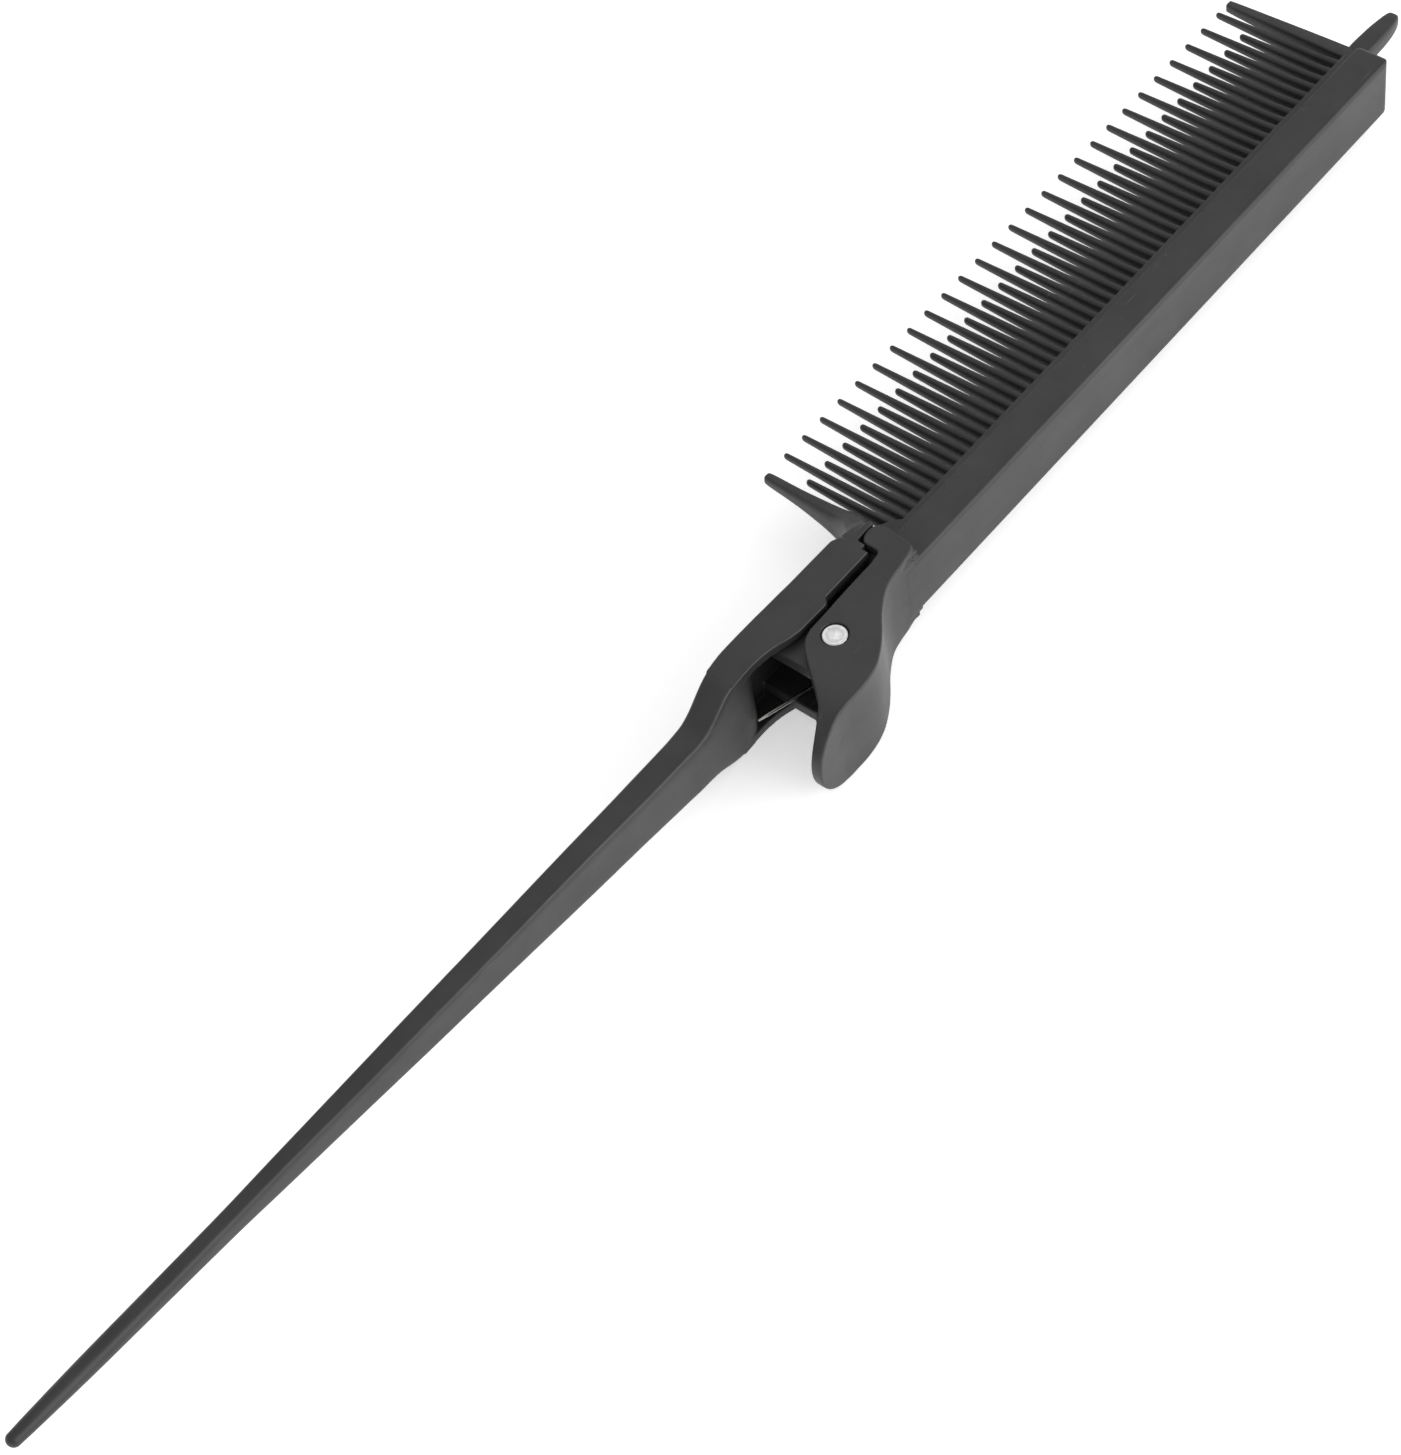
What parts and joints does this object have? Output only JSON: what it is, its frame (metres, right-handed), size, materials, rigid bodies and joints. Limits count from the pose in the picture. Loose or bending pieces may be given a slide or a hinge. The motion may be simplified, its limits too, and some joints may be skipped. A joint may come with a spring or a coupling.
{
  "type": "rat tail comb",
  "caption": "Rat tail comb with long and short teeth on a thin spine, a long tapered tail, and a hinged channel clamp that a sprung thumb lever opens to grip a strand of hair.",
  "frame": {"origin": "on the pivot rivet's axis, in the plane of the flat side that the comb lies on, at the outer face of the rivet's head", "axes": "+X from the tail to the head of the comb, +Y from the tooth roots to the tips, +Z across the thickness along the rivet's axis"},
  "size_m": [0.282, 0.0377, 0.0147],
  "materials": {
    "comb_plastic": "satin, moulded",
    "clamp_plastic": "satin, moulded",
    "rivet_metal": "bright, set by a punch",
    "spring_steel": "drawn wire"
  },
  "bodies": {
    "comb": {"rat_tail": "comb_plastic", "handle_neck": "comb_plastic", "housing_roof": "comb_plastic", "housing_plates": "comb_plastic", "pivot_lugs": "comb_plastic", "comb_spine": "comb_plastic", "spine_tongue": "comb_plastic", "heel_guard_tooth": "comb_plastic", "toe_guard_tooth": "comb_plastic", "long_teeth": "comb_plastic", "short_teeth": "comb_plastic", "pivot_rivet": "rivet_metal", "torsion_spring": "spring_steel"},
    "clamp": {"channel_floor": "clamp_plastic", "channel_jaws": "clamp_plastic", "pivot_cheeks": "clamp_plastic", "lever_web": "clamp_plastic", "thumb_lever": "clamp_plastic"}
  },
  "joints": [
    {"name": "clamp_hinge", "type": "hinge", "parent": "comb", "child": "clamp", "pos_m": [0, 0, 0.00735], "axis": [0, 0, -1], "range_deg": [0, 30], "stiffness_Nm_per_rad": 0.03, "springref_deg": -34.38, "deforming": ["torsion_spring"]}
  ]
}
